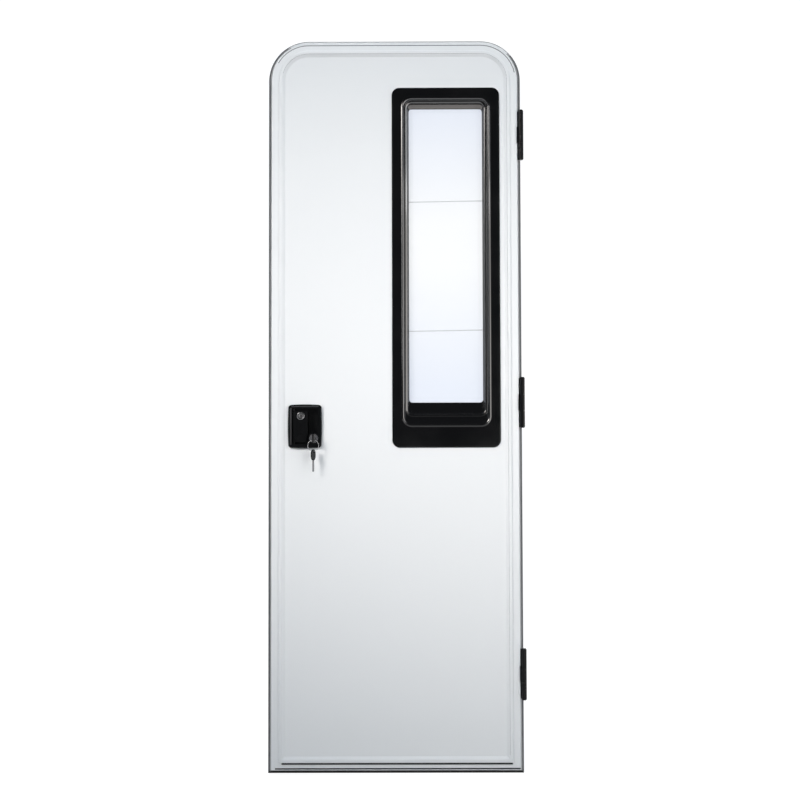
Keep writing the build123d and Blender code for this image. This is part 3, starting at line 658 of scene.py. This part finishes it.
GREY_RUBBER_AND_SHADE, BLACK_PAINTED_SHADE = ("lip_rubber", "seal_rubber"), ("seal_rubber", "seal_rubber")
lip_margin, lip_width, lip_rise, lock_lip_rise = 0.25, 4.25, 1.1, 1.6
lip_outer, lip_inner = HALF_WIDTH - lip_margin, HALF_WIDTH - lip_margin - lip_width
lip_z0, foot_lip_z1 = 0.2, 1.8
hinge_gap = 2.0
breaks = [lip_z0]
for hinge in ("lower", "middle", "upper"):
    low, high = in_mm(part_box(f"hinge_{hinge}_frame_plate"))
    breaks += [low.z - hinge_gap, high.z + hinge_gap]
breaks.append(CORNER_Z)
runs = [(-lip_outer, lip_z0, -lip_inner, CORNER_Z, LIP_FOOT, lock_lip_rise),
        (-lip_inner, lip_z0, lip_inner, foot_lip_z1, LIP_FOOT, lip_rise)]
runs += [(lip_inner, start, lip_outer, end, LIP_FOOT, lip_rise)
         for start, end in zip(breaks[0::2], breaks[1::2])]
# grey lips, their darkness partly painted shade of the gap round the leaf
strip("flange_lip_and_painted_shade", runs, *GREY_RUBBER_AND_SHADE, "frame")
# painted shade: black strips in the sill gap and along the sill's nose
strip("sill_gap_painted_shade", [(-310.0, 4.9, 310.0, 5.6, IN_FLANGE, 0.3)], *BLACK_PAINTED_SHADE, "frame")
strip("sill_nose_painted_shade", [(-313.0, 1.0, 313.0, 4.8, IN_FLANGE, 5.5)], *BLACK_PAINTED_SHADE, "frame")
# painted shadow under the bottom bead
strip("bead_painted_shadow", [(-281.0, 22.6, 287.0, 28.0, SKIN_FRONT, 3.9)], *BLACK_PAINTED_SHADE, "leaf")
# painted shade along the leaf's bottom edge
strip("edge_painted_shade", [(-297.0, 10.2, 306.0, 13.8, SKIN_FRONT, 0.3)], *BLACK_PAINTED_SHADE, "leaf")


# Strips round the top: grey lips on the frame, partly painted shade, and a white band on the head
# that is painted light; then the leaf's edge line, painted shade, and the shade line in its
# bead's groove, which goes on down the right side; last, the lock moulding's rim, a painted
# highlight

# grey lips, their darkness partly painted shade of the gap round the leaf
rim("corner_lip_and_painted_shade", [arc(-1, 180, 122), arc(1, 0, 40)], lip_margin, lip_width, LIP_FOOT, lip_rise,
    *GREY_RUBBER_AND_SHADE, "frame")
rim("head_lip_and_painted_shade", [over_head(122, 55)], lip_margin, 1.15, LIP_FOOT, 1.0, *GREY_RUBBER_AND_SHADE, "frame")
# painted light: a white band that makes the head paler than the sides
rim("head_painted_light_band", [over_head(118, 45)], 2.0, 5.6, IN_FLANGE, 0.5, "white_coat", "white_coat",
    "frame")
# painted shade along the leaf's top edge
rim("head_edge_painted_shade", [over_head(150, 12)], 11.8, 1.7, SKIN_FRONT, 0.3, *GREY_RUBBER_AND_SHADE, "leaf")
rim("groove_head", [over_head(165, 0)], 34.1, 0.8, IN_GROOVE, 0.2, *GREY_RUBBER_AND_SHADE, "leaf")
strip("groove_side", [(280.3, 45.0, 280.7, CORNER_Z, IN_GROOVE, 0.2)], *GREY_RUBBER_AND_SHADE, "leaf")
# painted highlight: paler black strips on the bezel's left side and top
rim_end, rim_rise = 9.0, 0.25
strip("bezel_painted_highlight", [(bezel_low.x + 5.4, bezel_low.z + rim_end,
                     bezel_low.x + 9.6, bezel_high.z - rim_end, bezel_low.y, rim_rise),
                    (bezel_low.x + rim_end, bezel_high.z - 6.6,
                     bezel_high.x - rim_end, bezel_high.z - 4.0, bezel_low.y, rim_rise)],
      "painted_highlight_black", "black_moulding", "leaf")


# Floor and backdrop in one sweep, white to camera, glossy and transmission rays; sizes in metres

def backdrop():
    half_width, front, bend_start, bend, top, steps = 9.0, -6.0, 3.0, 1.5, 7.0, 12
    run = [(front, 0.0), (bend_start, 0.0)]
    for i in range(1, steps + 1):
        turn = math.pi / 2 * i / steps
        run.append((bend_start + bend * math.sin(turn), bend - bend * math.cos(turn)))
    run.append((bend_start + bend, top))
    points = [(x, y, z) for y, z in run for x in (-half_width, half_width)]
    faces = [(2 * i, 2 * i + 1, 2 * i + 3, 2 * i + 2) for i in range(len(run) - 1)]
    mesh = bpy.data.meshes.new("studio_sweep")
    mesh.from_pydata(points, [], faces)
    for polygon in mesh.polygons:
        polygon.use_smooth = True
    sweep = bpy.data.objects.new("studio_sweep", mesh)
    scene.collection.objects.link(sweep)
    f = Finish("studio_look").set(Roughness=0.9, Specular_IOR_Level=0.1)
    f.colour(f.mixed(f.noise(1.5), (0.16, 0.163, 0.166), (0.18, 0.182, 0.185)))
    rays = f.node("ShaderNodeLightPath").outputs
    seen = f.largest(rays["Is Camera Ray"], rays["Is Glossy Ray"], rays["Is Transmission Ray"])
    length = f.node("ShaderNodeVectorMath", operation="LENGTH")
    f.link(f.where, length.inputs[0])
    far = f.ranged(length.outputs["Value"], 0.93, 1.0, 0.8, 2.6)
    glow = f.node("ShaderNodeEmission")
    f.link(f.calc("MULTIPLY", seen, far), glow.inputs["Strength"])
    both = f.node("ShaderNodeAddShader")
    f.link(f.shader.outputs["BSDF"], both.inputs[0])
    f.link(glow.outputs["Emission"], both.inputs[1])
    f.link(both.outputs["Shader"], f.tree.nodes["Material Output"].inputs["Surface"])
    mesh.materials.append(f.material)


backdrop()


# Lamps, with places in metres

def softbox(name, place, target, size, spread, power, colour):
    lamp = bpy.data.lights.new(name, "AREA")
    lamp.shape = "RECTANGLE"
    lamp.size, lamp.size_y = size
    lamp.energy = power
    lamp.spread = math.radians(spread)
    lamp.color = colour
    thing = bpy.data.objects.new(name, lamp)
    thing.location = place
    aim = Vector(target) - Vector(place)
    thing.rotation_euler = aim.to_track_quat("-Z", "Y").to_euler()
    scene.collection.objects.link(thing)


COOL, WARM, WARMER, WARMEST = ((0.95, 0.975, 1.0), (1.0, 0.98, 0.96), (1.0, 0.968, 0.935),
                               (1.0, 0.955, 0.915))
softbox("softbox_left", (-2.40, -3.02, 2.65), (0, 0, 1.0), (1.5, 1.5), 27.5, 5.8, WARMEST)
softbox("softbox_right", (1.72, -1.80, 0.91), (0.27, 0, 1.0), (2.2, 2.2), 79, 9.8, WARMER)
softbox("softbox_window", (1.50, -2.15, 2.20), (0.10, 0, 1.55), (0.32, 0.66), 79, 0.65, COOL)
softbox("softbox_lip", (-1.46, -2.20, 1.56), (0.02, 0, 1.33), (0.20, 0.87), 79, 0.50, COOL)
softbox("softbox_indoors_left", (-2.3, 2.2, 1.7), (0, 0.05, 1.0), (1.6, 1.6), 80, 15.0, WARM)
softbox("softbox_indoors_right", (2.3, 2.2, 1.3), (0, 0.05, 0.9), (1.6, 1.6), 80, 12.0, WARM)


# World: white to camera and transmission rays, a soft fill for the rest,
# and for glossy rays a dim studio with pale walls to the left and right

world = bpy.data.worlds.new("studio_air")
world.use_nodes = True
air = Graph(world.node_tree)
rays = air.node("ShaderNodeLightPath").outputs
glossy = rays["Is Glossy Ray"]
axes = air.node("ShaderNodeSeparateXYZ")
air.link(air.node("ShaderNodeTexCoord").outputs["Generated"], axes.inputs["Vector"])
walls = air.ranged(air.calc("ABSOLUTE", axes.outputs["X"]), 0.0, 2.3, 0.80, 0.99)
fill = air.ranged(glossy, 0.50, 0.13, 0.0, 1.0)
studio = air.tree.nodes["Background"]
air.link(air.calc("MULTIPLY_ADD", walls, glossy, fill), studio.inputs["Strength"])
air.link(air.mixed(glossy, (0.709, 0.864, 1.0), (0.38, 0.40, 0.44)), studio.inputs["Color"])
white = air.node("ShaderNodeBackground")
white.inputs["Color"].default_value = (1, 1, 1, 1)
either = air.node("ShaderNodeMixShader")
air.link(air.largest(rays["Is Camera Ray"], rays["Is Transmission Ray"]), either.inputs[0])
air.link(studio.outputs["Background"], either.inputs[1])
air.link(white.outputs["Background"], either.inputs[2])
air.link(either.outputs["Shader"], air.tree.nodes["World Output"].inputs["Surface"])
scene.world = world


# Camera at the photograph's viewing angle

PHOTO_PIXELS, FOCAL_PIXELS, SENSOR = 800.0, 1205.7, 36.0
eye = bpy.data.cameras.new("photo_camera")
eye.sensor_width = SENSOR
eye.lens = FOCAL_PIXELS * SENSOR / PHOTO_PIXELS
eye.clip_end = 60.0
camera = bpy.data.objects.new("photo_camera", eye)
pan, tilt, roll = (math.radians(a) for a in (0.175, 2.097, 0.146))
stand = (Matrix.Rotation(pan, 3, "Z") @ Matrix.Rotation(tilt, 3, "X")
         @ Matrix.Rotation(roll, 3, "Y"))
looking = stand @ Matrix.Rotation(math.radians(90), 3, "X")
camera.matrix_world = Matrix.Translation((0.0212, -3.0, 0.808)) @ looking.to_4x4()
scene.collection.objects.link(camera)
scene.camera = camera
